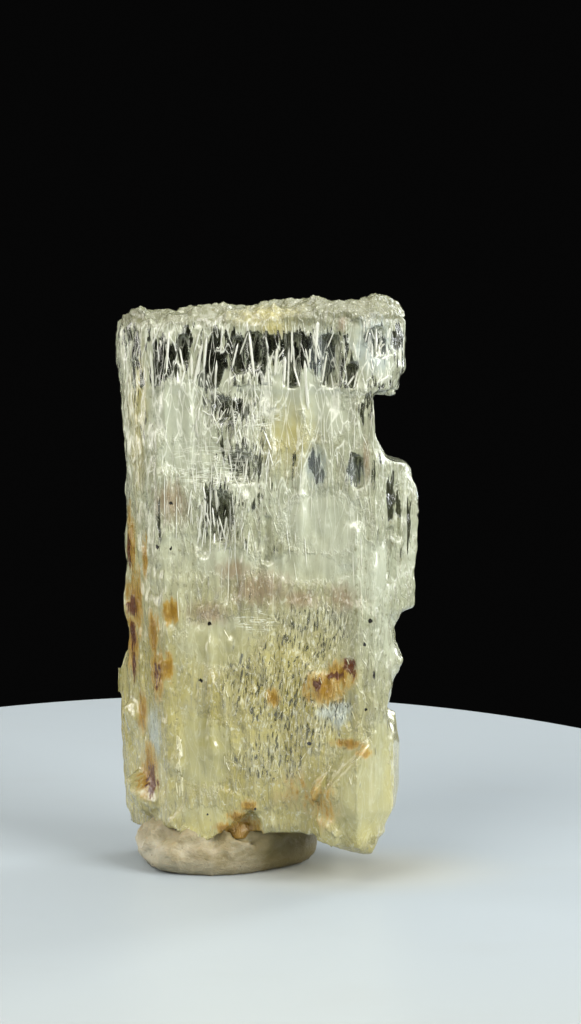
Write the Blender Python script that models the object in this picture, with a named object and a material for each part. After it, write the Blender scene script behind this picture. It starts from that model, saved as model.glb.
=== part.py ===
"""A goshenite crystal standing on a pad of display putty.

The crystal is one flattened hexagonal prism of clear beryl, 24 mm wide and 43 mm tall, etched
along its length. Its plan is a hexagon with true 120 degree corners, turned a little so that the
left flank is seen edge on. Ribs, growth plates and a ragged crest of column ends stand on the
prism, pits and grooves are cut into it, and broken lumps are grown on its foot.
The pad is a pressed oval of putty with a flat underside.
"""

import math
import random

import bmesh
import bpy
from mathutils import Matrix, Vector, noise

MM = 0.001
GAP = 0.3

# Plan of the prism: direction of the broad front face, its first corner, and the six face widths
LATTICE_TURN = math.radians(-15.0)
FRONT_LEFT_CORNER = (-10.4, -3.95)
FACE_WIDTHS = (19.4, 5.2, 7.9, 19.0, 5.6, 7.5)
POINTS_PER_FACE = (8, 3, 3, 7, 3, 4)

# How far the crystal reaches to the left and to the right at each height
LEFT_REACH = (
    (2.8, 11.3), (3.9, 11.7), (7.8, 12.0), (10.3, 12.1), (11.8, 12.3), (13.5, 12.1),
    (14.6, 11.8), (16.7, 11.7), (17.4, 11.0), (18.4, 11.1), (20.0, 11.6), (21.3, 11.8),
    (24.2, 11.3), (28.0, 11.3), (37.8, 11.3), (38.7, 11.5), (39.8, 12.2), (42.3, 12.4),
    (42.9, 12.3),
)
RIGHT_REACH = (
    (2.8, 8.6), (4.2, 9.4), (8.0, 10.0), (11.4, 10.0), (13.5, 9.4), (14.6, 9.4), (15.6, 9.9),
    (17.2, 10.6), (18.4, 10.1), (19.8, 9.9), (20.9, 10.5), (21.3, 11.6), (28.0, 11.8),
    (30.7, 11.7), (31.7, 11.3), (32.5, 10.9), (32.8, 9.4), (33.8, 8.8), (34.8, 8.3),
    (37.8, 8.2), (38.3, 9.9), (38.7, 10.6), (39.8, 10.8), (42.9, 10.8),
)
# Heights of the rows of points round the prism, close together at its steps
ROWS = (
    2.8, 3.9, 7.8, 10.3, 13.5, 15.6, 17.2, 18.4, 19.8, 20.9, 21.3, 24.2, 28.0, 30.7, 31.7, 32.5,
    32.8, 34.8, 37.8, 38.3, 39.8, 42.9,
)
# The left flank is bevelled, more so towards the foot: three points of the bevel's plane
BEVEL = ((-7.7, -4.9, 10.0), (-9.3, -4.2, 42.0), (-11.9, 1.9, 24.0))
# The prism thickens towards its foot
THICKNESS = (
    (2.8, 0.86), (5.0, 0.98), (12.0, 1.05), (20.0, 1.0), (30.0, 0.97), (37.8, 0.94),
    (38.3, 0.97), (42.9, 0.95),
)
# Height of the front edge of the foot, and of the crest, from left to right
FOOT = (
    (-11.5, 2.6), (-9.6, 2.8), (-8.2, 3.6), (-7.0, 3.7), (-6.4, 3.2), (-4.7, 2.8), (-3.0, 3.4),
    (4.0, 3.8), (8.0, 3.2),
)
CREST = (
    (-12.0, 43.7), (-10.2, 44.6), (-9.0, 44.3), (-7.4, 44.3), (-7.0, 44.7), (-2.0, 44.7),
    (0.5, 45.1), (1.8, 45.0), (3.4, 45.5), (4.8, 45.5), (6.4, 44.5), (8.7, 45.5), (10.3, 45.1),
    (11.0, 44.4),
)
# Heights at which no rib or plate bridges the notches in the flanks: side, low, high
NOTCHES = ((1, 12.0, 20.9), (1, 32.4, 38.3), (-1, 16.8, 19.6))
CREST_BEVEL = 2.2
CREST_DROP = 1.1
CREST_GRID = 1.45

# Corners of the blocks that stand at the two ends of the crest
LEFT_CROWN = (
    (-12.1, 2.2, 43.3), (-11.5, 0.6, 43.9), (-10.9, -0.9, 44.2), (-10.0, -2.4, 44.5),
    (-9.4, -3.3, 44.2), (-9.7, 0.4, 44.6), (-10.9, 3.2, 44.0), (-9.2, 3.0, 44.2),
    (-12.1, 2.2, 40.8), (-9.4, -3.3, 40.8), (-9.2, 3.0, 40.8), (-10.9, 3.2, 40.8),
)
RIGHT_CROWN = (
    (7.2, -7.0, 44.7), (8.5, -6.8, 45.5), (9.7, -5.7, 45.3), (10.5, -4.7, 44.7),
    (10.65, -4.3, 43.9), (10.65, -4.3, 39.4), (8.4, -7.2, 39.4), (7.0, -2.6, 45.1),
    (8.4, -0.4, 45.3), (10.1, 0.6, 44.8), (10.65, 0.2, 43.6), (10.65, 0.2, 39.4),
    (7.2, 0.4, 44.6), (7.2, 0.4, 39.4),
)
# Column ends that hang from the underside of the right-hand block: place in plan, end, width
HANGING = (
    (8.9, -6.1, 37.75, 0.9), (9.9, -5.0, 38.1, 0.8), (9.6, -3.4, 37.6, 1.3),
    (10.1, -1.6, 38.0, 1.0), (9.0, -0.2, 37.7, 1.1),
)

# Column ends that fringe the foot beside the bite: place in plan, end, width
FRINGE = (
    (-0.2, -5.7, 3.5, 0.6), (0.55, -5.9, 3.9, 1.2), (1.7, -6.1, 3.7, 0.6), (2.2, -6.35, 4.1, 1.1),
    (3.3, -6.5, 3.6, 0.8),
)

# Corners of the lobe at the right of the foot, of the tip at its left, of the bite and the step
# between them, and of the groove above the lobe
RIGHT_LOBE = (
    (8.8, -6.6, 13.8), (10.1, -4.6, 13.0), (10.5, -4.4, 10.6), (10.45, -4.2, 7.2),
    (10.1, -4.4, 5.6), (9.35, -5.6, 4.5), (8.2, -7.1, 2.2), (7.4, -7.5, 2.3), (5.7, -7.4, 2.7),
    (3.9, -7.2, 3.3),
    (3.6, -7.7, 4.7), (6.9, -10.2, 10.4), (6.9, -10.2, 6.0), (9.8, -7.7, 11.2), (9.8, -7.7, 6.0),
    (8.6, -8.7, 12.2), (8.7, -8.0, 4.4), (7.1, -8.9, 3.2), (4.7, -9.2, 7.8), (9.6, 1.5, 9.0),
    (8.0, 1.0, 4.4), (5.0, -2.0, 3.2), (9.8, 0.5, 12.0), (5.0, -4.0, 11.0),
)
FRONT_TIP = (
    (-4.5, -5.2, 2.75), (-6.6, -4.9, 3.1), (-7.9, -4.5, 3.9), (-2.6, -6.1, 4.3),
    (-1.0, -6.6, 6.2), (-4.8, -5.6, 7.5), (-4.6, -2.8, 4.2), (-7.0, -3.0, 5.0),
    (-2.8, -3.4, 6.4),
)
FRONT_SCOOP = (
    (-4.2, -11.0, 2.3), (-3.3, -11.0, 3.3), (-1.0, -11.0, 6.1), (-0.3, -11.0, 4.4),
    (-0.1, -11.0, 1.0), (-4.2, -11.0, 1.0), (-4.1, -3.8, 1.0), (-3.2, -4.0, 3.3),
    (-1.1, -5.4, 5.6), (-0.4, -5.2, 4.2), (0.0, -4.4, 1.0),
)
FRONT_STEP = (
    (-0.8, -11.0, 7.4), (3.4, -11.0, 6.4), (3.6, -11.0, 1.0), (-0.7, -11.0, 1.0),
    (-0.7, -5.9, 1.0), (3.6, -6.8, 1.0), (-0.7, -6.1, 5.6), (3.4, -7.0, 5.0),
)
LOBE_GROOVE = (
    (9.4, -10.6, 13.4), (8.9, -10.6, 13.9), (3.6, -10.6, 7.2), (4.1, -10.6, 6.8),
    (8.9, -8.4, 13.5), (3.9, -7.6, 7.0),
)
# The large etched windows of the front: middle, floor, top, width, depth
WINDOWS = (
    (-6.4, 40.0, 42.4, 0.7, 1.3), (-2.1, 39.3, 42.2, 0.9, 1.0), (-0.8, 39.8, 42.6, 0.8, 1.1),
    (2.0, 38.3, 42.5, 1.1, 1.4), (4.9, 38.4, 42.4, 1.3, 1.0), (6.5, 38.4, 40.2, 0.8, 1.2),
    (8.6, 40.6, 43.0, 1.5, 0.9), (7.0, 30.7, 33.2, 0.8, 1.0), (-1.9, 31.0, 33.3, 2.2, 0.7),
    (-3.6, 26.3, 30.4, 1.9, 0.7), (-3.4, 35.6, 37.6, 1.8, 0.5), (10.3, 26.6, 31.0, 0.6, 0.6),
)
RIBS = 92
PLATES = 16
PITS = 14
GROOVES = 10
CREST_ENDS = 34
CREST_DEPTH = 0.94

PAD_CENTRE = (-3.2, 0.9)
# How far the pad reaches from its centre in each direction, in degrees seen from above
PAD_REACH = (
    (-180, 6.9), (-150, 7.0), (-133, 7.0), (-112, 6.5), (-90, 6.1), (-70, 5.7), (-50, 5.5),
    (-28, 6.1), (-6, 6.9), (12, 7.3), (50, 7.4), (90, 7.0), (135, 6.7), (180, 6.9),
)
PAD_SIDES = 40


def mm(*values):
    """A point given in millimetres, in metres."""
    return Vector(values) * MM


def between(table, at):
    """Straight-line reading of a table of (place, value) pairs."""
    if at <= table[0][0]:
        return table[0][1]
    for (a, low), (b, high) in zip(table, table[1:]):
        if at <= b:
            return low + (high - low) * (at - a) / (b - a)
    return table[-1][1]


def face_run(face):
    """Unit direction in plan along one face of the prism, counter-clockwise seen from above."""
    turn = LATTICE_TURN + face * math.pi / 3
    return Vector((math.cos(turn), math.sin(turn)))


def plan_points():
    """Points round the hexagonal plan, each with the outward direction of its face."""
    points = []
    corner = Vector(FRONT_LEFT_CORNER)
    for face, (width, count) in enumerate(zip(FACE_WIDTHS, POINTS_PER_FACE)):
        run = face_run(face)
        outward = Vector((run.y, -run.x))
        points += [(corner + run * width * step / count, outward) for step in range(count)]
        corner = corner + run * width
    return points


def plane_facing(points):
    """Unit direction square to three points, on the side away from the crystal's middle."""
    a, b, c = [Vector(point) for point in points]
    facing = (b - a).cross(c - a).normalized()
    return facing if facing.dot(a - Vector((0.0, 0.0, a.z))) > 0 else -facing


PLAN = plan_points()
BEVEL_FACING = plane_facing(BEVEL)


def plan_at(share):
    """Point and outward direction at a share, 0 to 1, of the way round the plan's points."""
    place = (share % 1.0) * len(PLAN)
    index = int(place)
    (a, outward), (b, _) = PLAN[index], PLAN[(index + 1) % len(PLAN)]
    return a.lerp(b, place - index), outward


def flank(share, height):
    """Point of the prism's side in mm, at a share of the way round and a height."""
    point, outward = plan_at(share)
    relief = noise.noise(Vector((point.x * 0.5, point.y * 0.5, height * 0.05)))
    depth = between(THICKNESS, height)
    x = point.x + outward.x * 0.4 * relief
    y = (point.y + outward.y * 0.4 * relief) * depth
    if x > between(RIGHT_REACH, height):
        x, outward = between(RIGHT_REACH, height), Vector((1.0, 0.0))
    if x < -between(LEFT_REACH, height):
        x, outward = -between(LEFT_REACH, height), Vector((-1.0, 0.0))
    place = Vector((x, y, height))
    over = (place - Vector(BEVEL[0])).dot(BEVEL_FACING)
    if over > 0:
        place = place - BEVEL_FACING * over
        outward = BEVEL_FACING.xy.normalized()
    return Vector((place.x, place.y, height)), outward


def new_object(name, mesh, collection):
    made = bpy.data.objects.new(name, mesh)
    collection.objects.link(made)
    return made


def mesh_from(work, name):
    """Closes a bmesh into a mesh with its faces pointing out."""
    bmesh.ops.recalc_face_normals(work, faces=work.faces)
    mesh = bpy.data.meshes.new(name)
    work.to_mesh(mesh)
    work.free()
    return mesh


def inset(point):
    """How far a point in plan lies inside the nearest face of the prism."""
    corner = Vector(FRONT_LEFT_CORNER)
    depths = []
    for face, width in enumerate(FACE_WIDTHS):
        run = face_run(face)
        depths.append((corner - point).dot(Vector((run.y, -run.x))))
        corner = corner + run * width
    return min(depths)


def crest_height(point):
    """Height of the crest over a point in plan: it drops towards the rim of the prism."""
    bevel = max(0.0, min(1.0, inset(point) / CREST_BEVEL))
    return between(CREST, point.x) - CREST_DROP * (1 - bevel) ** 2


def ragged_cap(work, height, rng):
    """Cuts the prism's top into a net and lifts it into the bevelled, ragged crest."""
    cap = max(work.faces, key=lambda face: face.calc_center_median().z)
    faces = [cap]
    for across, reach in ((0, 13.0), (1, 10.0)):
        at = -reach
        while at < reach:
            at += CREST_GRID * rng.uniform(0.85, 1.15)
            middle, way = Vector((0, 0, 0)), Vector((0, 0, 0))
            middle[across], way[across] = at * MM, 1.0
            way[1 - across] = rng.uniform(-0.2, 0.2)
            edges = {edge for face in faces for edge in face.edges}
            verts = {vert for face in faces for vert in face.verts}
            bmesh.ops.bisect_plane(
                work, geom=list(verts) + list(edges) + faces, dist=1e-6, plane_co=middle,
                plane_no=way,
            )
            faces = [face for face in work.faces if face.normal.z > 0.999]
            faces = [face for face in faces if face.calc_center_median().z > height * MM - 1e-6]
    for vert in {vert for face in faces for vert in face.verts}:
        vert.co.z = (crest_height(vert.co.xy / MM) + rng.uniform(-0.8, 0.2)) * MM
    bmesh.ops.triangulate(work, faces=faces, quad_method="SHORT_EDGE")


def prism(collection):
    """The main body: a cylinder with a row of points at each height, drawn onto the outline."""
    low, high = ROWS[0], ROWS[-1]
    work = bmesh.new()
    sides = len(PLAN)
    bmesh.ops.create_cone(
        work, cap_ends=True, segments=sides, radius1=1.0, radius2=1.0, depth=high - low,
        matrix=Matrix.Translation((0.0, 0.0, (high + low) / 2)),
    )
    for height in ROWS[1:-1]:
        everything = work.verts[:] + work.edges[:] + work.faces[:]
        bmesh.ops.bisect_plane(
            work, geom=everything, dist=1e-6, plane_co=(0, 0, height), plane_no=(0, 0, 1)
        )
    for vert in work.verts:
        share = round(math.atan2(vert.co.y, vert.co.x) / math.tau * sides) / sides
        height = min(ROWS, key=lambda row: abs(row - vert.co.z))
        place, _ = flank(share, height)
        if height == low:
            place.z = between(FOOT, place.x)
        vert.co = place * MM
    bmesh.ops.recalc_face_normals(work, faces=work.faces)
    ragged_cap(work, high, random.Random(7))
    return new_object("goshenite_crystal", mesh_from(work, "crystal_body"), collection)


def column(name, foot, tip, outward, across, thick, taper, narrow, turn, collection):
    """A six-sided column from foot to tip in mm, flattened against its host face.

    Both ends run on past a shoulder for the length taper, down to narrow times the width.
    """
    axis = (tip - foot).normalized()
    side = Vector((-outward.y, outward.x, 0.0))
    front = axis.cross(side).normalized()
    side = front.cross(axis)
    frame = Matrix((side, front, axis)).transposed().to_4x4()
    length = (tip - foot).length
    work = bmesh.new()
    bmesh.ops.create_cone(
        work, cap_ends=True, segments=6, radius1=0.5, radius2=0.5, depth=length - 2 * taper,
        matrix=Matrix.Rotation(turn, 4, "Z"),
    )
    ends = [face for face in work.faces if abs(face.normal.z) > 0.9]
    for face in bmesh.ops.extrude_discrete_faces(work, faces=ends)["faces"]:
        centre = face.calc_center_median()
        for vert in face.verts:
            vert.co = centre + (vert.co - centre) * narrow
            vert.co.z += math.copysign(taper, centre.z)
    fit = Matrix.Diagonal((across, thick, 1.0, 1.0))
    middle = Matrix.Translation((foot + tip) / 2)
    work.transform(Matrix.Scale(MM, 4) @ middle @ frame @ fit)
    return new_object(name, mesh_from(work, name), collection)


def in_notch(place):
    """True where something standing on the flank would fill a notch in the outline."""
    for side, low, high in NOTCHES:
        if place.x * side > 7.6 and low < place.z < high:
            return True
    return False


def run_up(share, low, wanted, slack=0.55, step=0.6):
    """How high a straight rib from this point can go before the flank steps away from it."""
    start, _ = flank(share, low)
    high = low
    while high < min(low + wanted, 43.0):
        ahead, _ = flank(share, high + step)
        if in_notch(ahead) or (ahead.xy - start.xy).length > slack:
            break
        high += step
    return high


def ribs(rng, collection):
    """Fine columns standing half out of the flanks, which give the crystal its lengthwise grain."""
    for number in range(RIBS):
        share = (number + rng.uniform(0.1, 0.9)) / RIBS
        low = rng.uniform(2.6, 36.0)
        if in_notch(flank(share, low)[0]):
            continue
        wanted = rng.uniform(5.0, 20.0)
        high = run_up(share, low, wanted)
        if high - low < 3.0:
            continue
        foot, outward = flank(share, low)
        tip, _ = flank(share, high)
        across = rng.uniform(0.7, 2.2)
        thick = rng.uniform(1.2, 1.9)
        proud = rng.uniform(0.08, 0.28)
        shift = outward.to_3d() * (proud - thick / 2)
        column(
            f"rib_{number}", foot + shift, tip + shift, outward, across, thick,
            rng.uniform(0.5, 1.3), rng.uniform(0.3, 0.65), math.radians(rng.uniform(-5, 5)),
            collection,
        )


def plates(rng, collection):
    """Broad growth plates, a step proud of the faces that they lie on."""
    for number in range(PLATES):
        share = (number + rng.uniform(0.2, 0.8)) / PLATES
        low = rng.uniform(3.0, 33.0)
        high = run_up(share, low, rng.uniform(6.0, 15.0), slack=0.9)
        if high - low < 4.0:
            continue
        foot, outward = flank(share, low)
        tip, _ = flank(share, high)
        thick = rng.uniform(2.4, 3.2)
        shift = outward.to_3d() * (rng.uniform(0.12, 0.35) - thick / 2)
        column(
            f"plate_{number}", foot + shift, tip + shift, outward, rng.uniform(2.4, 4.4), thick,
            rng.uniform(0.5, 1.4), rng.uniform(0.6, 0.85), math.radians(rng.uniform(-4, 4)),
            collection,
        )


def crest(rng, collection):
    """Stubby column ends standing out of the crest at uneven heights."""
    for number in range(CREST_ENDS):
        while True:
            middle = Vector((rng.uniform(-11.5, 10.5), rng.uniform(-8.5, 7.5)))
            if 0.5 < inset(middle) < 6.0 and middle.x < 10.0:
                break
        top = crest_height(middle) + rng.uniform(-0.5, 0.1)
        lean = Vector((rng.uniform(-0.4, 0.4), rng.uniform(-0.4, 0.4), 0.0))
        foot = Vector((middle.x, middle.y * CREST_DEPTH, 41.5))
        column(
            f"crest_{number}", foot, Vector((foot.x, foot.y, top)) + lean, -face_run(1.5),
            rng.uniform(1.1, 2.6), rng.uniform(1.1, 2.2), rng.uniform(0.3, 0.8),
            rng.uniform(0.2, 0.6), math.radians(rng.uniform(-8, 8)), collection,
        )


def chip(name, centre, radii, seed, corners, collection, extra=(), turn=0.0):
    """A broken lump with flat facets: the hull of corners scattered on an oval ball, in mm.

    extra holds further corners, such as a tip, given as places in the whole crystal.
    """
    rng = random.Random(seed)
    work = bmesh.new()
    spin = Matrix.Rotation(turn, 3, "Z")
    for number in range(corners):
        # a spiral spreads the corners evenly before they are shaken
        level = 1 - 2 * (number + 0.5) / corners
        angle = number * 2.39996 + rng.uniform(-0.5, 0.5)
        level = max(-0.98, min(0.98, level + rng.uniform(-0.12, 0.12)))
        ring = math.sqrt(1 - level * level)
        way = Vector((ring * math.cos(angle), ring * math.sin(angle), level))
        reach = rng.uniform(0.82, 1.0)
        corner = spin @ Vector([a * b * reach for a, b in zip(way, radii)])
        work.verts.new((Vector(centre) + corner) * MM)
    for corner in extra:
        work.verts.new(mm(*corner))
    made = bmesh.ops.convex_hull(work, input=work.verts[:])
    spare = {item for item in made["geom_interior"] if isinstance(item, bmesh.types.BMVert)}
    bmesh.ops.delete(work, geom=list(spare), context="VERTS")
    return new_object(name, mesh_from(work, name), collection)


def block(name, corners, collection):
    """A flat-faced block: the hull of corners given in mm."""
    work = bmesh.new()
    for corner in corners:
        work.verts.new(mm(*corner))
    bmesh.ops.convex_hull(work, input=work.verts[:])
    return new_object(name, mesh_from(work, name), collection)


def foot_lumps(collection):
    """The broken foot: a lobe that reaches below the prism, and smaller grown-on pieces."""
    block("right_lobe", RIGHT_LOBE, collection)
    block("front_tip", FRONT_TIP, collection)
    chip("lobe_lump", (5.2, -8.1, 4.6), (1.6, 1.3, 1.8), 113, 16, collection)
    chip("lobe_shoulder", (8.0, -1.0, 9.6), (2.3, 3.6, 4.6), 23, 16, collection)
    chip("left_lobe", (-8.8, 0.2, 5.6), (2.9, 3.8, 3.0), 17, 16, collection)
    chip("left_bulge", (-10.3, 1.9, 11.6), (1.9, 2.8, 2.6), 29, 14, collection)
    chip("back_lobe", (3.4, 3.4, 5.6), (5.0, 2.2, 3.2), 37, 20, collection, (), -0.2)
    chip("back_corner", (-6.4, 4.6, 6.4), (3.2, 2.4, 4.0), 47, 16, collection)
    chip("side_bump", (10.1, -3.4, 16.8), (0.8, 2.2, 1.1), 59, 14, collection)


def bite_lumps(collection):
    """Pieces that stand in the bites of the foot: a lump, a blade and ragged column ends."""
    chip("amber_lump", (-2.1, -4.7, 3.5), (1.5, 0.9, 1.0), 41, 14, collection)
    chip("blade", (3.7, -8.2, 7.2), (0.45, 0.8, 0.9), 43, 10, collection, ((5.2, -8.6, 9.6),))
    for number, (x, y, end, across) in enumerate(FRINGE):
        column(
            f"fringe_{number}", Vector((x, y, end)), Vector((x, y, 6.4)), face_run(4.5),
            across, across * 1.3, 0.3, 0.5, 0.0, collection,
        )


def crowns(collection):
    """The wider blocks at the two ends of the crest, the right one with ragged column ends."""
    block("left_crown", LEFT_CROWN, collection)
    block("right_crown", RIGHT_CROWN, collection)
    for number, (x, y, end, across) in enumerate(HANGING):
        column(
            f"hanging_{number}", Vector((x, y, end)), Vector((x, y, 40.6)), face_run(4.5),
            across, across * 1.1, 0.25, 0.6, 0.0, collection,
        )


def foot_scoops(collection):
    """Shell-shaped bites out of the foot, where the crystal broke from the rock."""
    block("scoop_front", FRONT_SCOOP, collection)
    block("step_front", FRONT_STEP, collection)
    block("lobe_groove", LOBE_GROOVE, collection)
    chip("scoop_back", (-1.4, 8.6, 2.0), (4.0, 3.2, 3.0), 71, 18, collection)
    chip("scoop_side", (12.6, 1.5, 14.0), (2.2, 3.6, 1.9), 73, 16, collection)


def front_share(x):
    """Share of the way round the plan at which x lies, on the two faces that look forward."""
    left, run = FRONT_LEFT_CORNER[0], FACE_WIDTHS[0] * face_run(0).x
    if x < left + run:
        return POINTS_PER_FACE[0] * (x - left) / run / len(PLAN)
    over = (x - left - run) / (FACE_WIDTHS[1] * face_run(1).x)
    return (POINTS_PER_FACE[0] + POINTS_PER_FACE[1] * min(over, 0.99)) / len(PLAN)


def windows(rng, collection):
    """The large etched windows of the front, box-shaped, most with a level floor."""
    for number, (x, low, high, across, deep) in enumerate(WINDOWS):
        foot, outward = flank(front_share(x), low)
        tip, _ = flank(front_share(x), high)
        tip = Vector((foot.x, foot.y, high))
        shift = outward.to_3d() * (1.2 - deep)
        column(
            f"window_{number}", foot + shift, tip + shift, outward, across * 1.15, 2.4, 0.12,
            0.8, math.radians(30 + rng.uniform(-6, 6)), collection,
        )


def pits(rng, collection):
    """Six-sided etch pits, longer than wide and sunk straight into the faces."""
    for number in range(PITS):
        share = (number + rng.uniform(0.1, 0.9)) / PITS
        low = rng.uniform(5.0, 38.5)
        high = run_up(share, low, rng.uniform(1.3, 4.5), step=0.4)
        if high - low < 1.0:
            continue
        foot, outward = flank(share, low)
        tip, _ = flank(share, high)
        thick = rng.uniform(1.6, 2.4)
        shift = outward.to_3d() * (thick / 2 - rng.uniform(0.35, 0.8))
        column(
            f"pit_{number}", foot + shift, tip + shift, outward, rng.uniform(0.6, 1.4), thick,
            rng.uniform(0.15, 0.35), rng.uniform(0.35, 0.7), math.radians(rng.uniform(-6, 6)),
            collection,
        )


def grooves(rng, collection):
    """Long narrow furrows etched along the prism."""
    for number in range(GROOVES):
        share = (number + rng.uniform(0.1, 0.9)) / GROOVES
        low = rng.uniform(6.0, 32.0)
        high = run_up(share, low, rng.uniform(6.0, 14.0))
        if high - low < 3.0:
            continue
        foot, outward = flank(share, low)
        tip, _ = flank(share, high)
        thick = 1.6
        shift = outward.to_3d() * (thick / 2 - rng.uniform(0.3, 0.55))
        column(
            f"groove_{number}", foot + shift, tip + shift, outward, rng.uniform(0.35, 0.6),
            thick, rng.uniform(0.8, 1.5), 0.3, math.radians(30 + rng.uniform(-5, 5)),
            collection,
        )


def pad_blob(name, grown, collection):
    """The pad of putty: a disc with a bulging side and a domed, dented top. grown swells it."""
    # height and reach of each ring, from the flat underside up to the crown
    profile = (
        (0.0, 0.965), (0.35, 0.99), (1.1, 1.0), (2.0, 0.975), (2.8, 0.9), (3.4, 0.76),
        (3.8, 0.56), (4.0, 0.32), (4.1, 0.1),
    )
    top = profile[-1][0]
    work = bmesh.new()
    bmesh.ops.create_cone(
        work, cap_ends=True, segments=PAD_SIDES, radius1=1.0, radius2=1.0, depth=top,
        matrix=Matrix.Translation((0, 0, top / 2)),
    )
    for height, _ in profile[1:-1]:
        everything = work.verts[:] + work.edges[:] + work.faces[:]
        bmesh.ops.bisect_plane(
            work, geom=everything, dist=1e-6, plane_co=(0, 0, height), plane_no=(0, 0, 1)
        )
    for vert in work.verts:
        angle = math.atan2(vert.co.y, vert.co.x)
        height, share = min(profile, key=lambda ring: abs(ring[0] - vert.co.z))
        reach = between(PAD_REACH, math.degrees(angle)) * share + grown
        x = PAD_CENTRE[0] + reach * math.cos(angle)
        y = PAD_CENTRE[1] + reach * math.sin(angle)
        dent = 0.22 * noise.noise(Vector((x * 0.45, y * 0.45, 3.0))) * height / top
        vert.co = mm(x, y, height + dent + grown if height > 0 else -grown)
    return new_object(name, mesh_from(work, name), collection)


def boolean(target, operation, collection):
    modifier = target.modifiers.new(operation.lower(), "BOOLEAN")
    modifier.operation = operation
    modifier.operand_type = "COLLECTION"
    modifier.collection = collection
    modifier.solver = "EXACT"


def finish(name, colour, roughness, transmission):
    """A plain material for one piece."""
    material = bpy.data.materials.new(name)
    material.use_nodes = True
    shader = material.node_tree.nodes["Principled BSDF"]
    shader.inputs["Base Color"].default_value = (*colour, 1.0)
    shader.inputs["Roughness"].default_value = roughness
    shader.inputs["Metallic"].default_value = 0.0
    shader.inputs["Transmission Weight"].default_value = transmission
    shader.inputs["IOR"].default_value = 1.58
    return material


def new_collection(name, hidden):
    made = bpy.data.collections.new(name)
    bpy.context.scene.collection.children.link(made)
    made.hide_render = hidden
    return made


def centre_on_base(pieces, helpers):
    """Hangs everything on an empty, placed so that the middle of the base is at the origin."""
    bpy.context.view_layer.update()
    graph = bpy.context.evaluated_depsgraph_get()
    points = []
    for piece in pieces:
        shaped = piece.evaluated_get(graph)
        points += [vert.co.copy() for vert in shaped.to_mesh().vertices]
        shaped.to_mesh_clear()
    low = Vector([min(point[axis] for point in points) for axis in range(3)])
    high = Vector([max(point[axis] for point in points) for axis in range(3)])
    anchor = bpy.data.objects.new("specimen_origin", None)
    bpy.context.scene.collection.objects.link(anchor)
    anchor.location = (-(low.x + high.x) / 2, -(low.y + high.y) / 2, -low.z)
    for item in [*pieces, *helpers]:
        item.parent = anchor


def build():
    for item in list(bpy.data.objects):
        bpy.data.objects.remove(item)
    specimen = new_collection("goshenite_specimen", False)
    grown = new_collection("grown_on", True)
    cut = new_collection("cut_away", True)
    late = new_collection("grown_in_bites", True)
    seat = new_collection("seat", True)

    crystal = prism(specimen)
    ribs(random.Random(101), grown)
    plates(random.Random(202), grown)
    crest(random.Random(303), grown)
    crowns(grown)
    foot_lumps(grown)
    windows(random.Random(606), cut)
    pits(random.Random(404), cut)
    grooves(random.Random(505), cut)
    foot_scoops(cut)
    bite_lumps(late)
    pad_blob("seat_in_crystal", GAP, seat)
    boolean(crystal, "UNION", grown)
    boolean(crystal, "DIFFERENCE", cut)
    boolean(crystal, "UNION", late)
    boolean(crystal, "DIFFERENCE", seat)
    crystal.data.materials.append(finish("clear_beryl", (0.86, 0.88, 0.78), 0.2, 0.7))

    pad = pad_blob("putty_pad", 0.0, specimen)
    pad.data.materials.append(finish("putty", (0.80, 0.76, 0.66), 0.6, 0.0))
    pad.data.shade_smooth()
    helpers = [*grown.objects, *cut.objects, *late.objects, *seat.objects]
    for helper in helpers:
        helper.hide_render = True
        helper.display_type = "WIRE"
    centre_on_base([crystal, pad], helpers)


build()
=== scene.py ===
"""Goshenite crystal standing on a pad of display putty.

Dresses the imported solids: the etched, veined and iron-stained beryl, the pressed putty, an oval
pale floor, soft lights and the camera. Lengths are in millimetres, except for the settings that
have a unit, which are in metres.
"""

import math
import random

import bmesh
import bpy
import numpy as np
from bpy.props import FloatProperty, FloatVectorProperty, PointerProperty
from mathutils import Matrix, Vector


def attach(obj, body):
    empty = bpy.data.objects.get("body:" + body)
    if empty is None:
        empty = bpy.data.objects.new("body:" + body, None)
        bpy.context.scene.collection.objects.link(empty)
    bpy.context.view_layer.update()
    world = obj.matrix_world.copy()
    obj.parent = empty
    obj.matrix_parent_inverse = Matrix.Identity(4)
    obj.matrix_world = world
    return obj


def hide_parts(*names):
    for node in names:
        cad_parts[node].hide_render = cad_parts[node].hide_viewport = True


bl_info = {
    "name": "Goshenite Crystal",
    "version": (1, 0, 0),
    "blender": (4, 5, 0),
    "location": "3D View > Sidebar > Specimen",
    "description": "Builds an etched goshenite crystal on a pad of display putty",
    "category": "Object",
}

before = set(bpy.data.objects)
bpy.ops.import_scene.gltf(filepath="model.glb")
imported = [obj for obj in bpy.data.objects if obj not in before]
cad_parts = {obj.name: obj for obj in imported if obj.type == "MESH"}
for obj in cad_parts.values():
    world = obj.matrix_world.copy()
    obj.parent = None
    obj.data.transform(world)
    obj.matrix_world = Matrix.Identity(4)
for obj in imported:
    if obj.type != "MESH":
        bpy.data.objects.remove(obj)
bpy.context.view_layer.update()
MM = 0.001

# The broad front face in plan: a point on it, and its slope
FRONT_POINT, FRONT_SLOPE = (-10.18, -2.80), -0.268
# The bevelled left flank in plan: its depth at x = 0, its slope, and how it leans with height
FLANK_DEPTH, FLANK_SLOPE, FLANK_LEAN = -16.92, -1.855, -0.0709
# How far right of their listed x the marks lie
MARKS_SHIFT = 0.16
# How far the marks on the front, on the flank, and right through the crystal reach in depth
FRONT_REACH, FLANK_REACH, THROUGH_REACH = 2.6, 2.2, 40.0

# The smooth lobe at the right, as (x, y, z, rx, ry, rz), and the share of it that is its rim
RIGHT_LOBE, LOBE_RIM = (7.6, -6.0, 6.5, 6.5, 9.0, 9.5), 0.35
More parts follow.
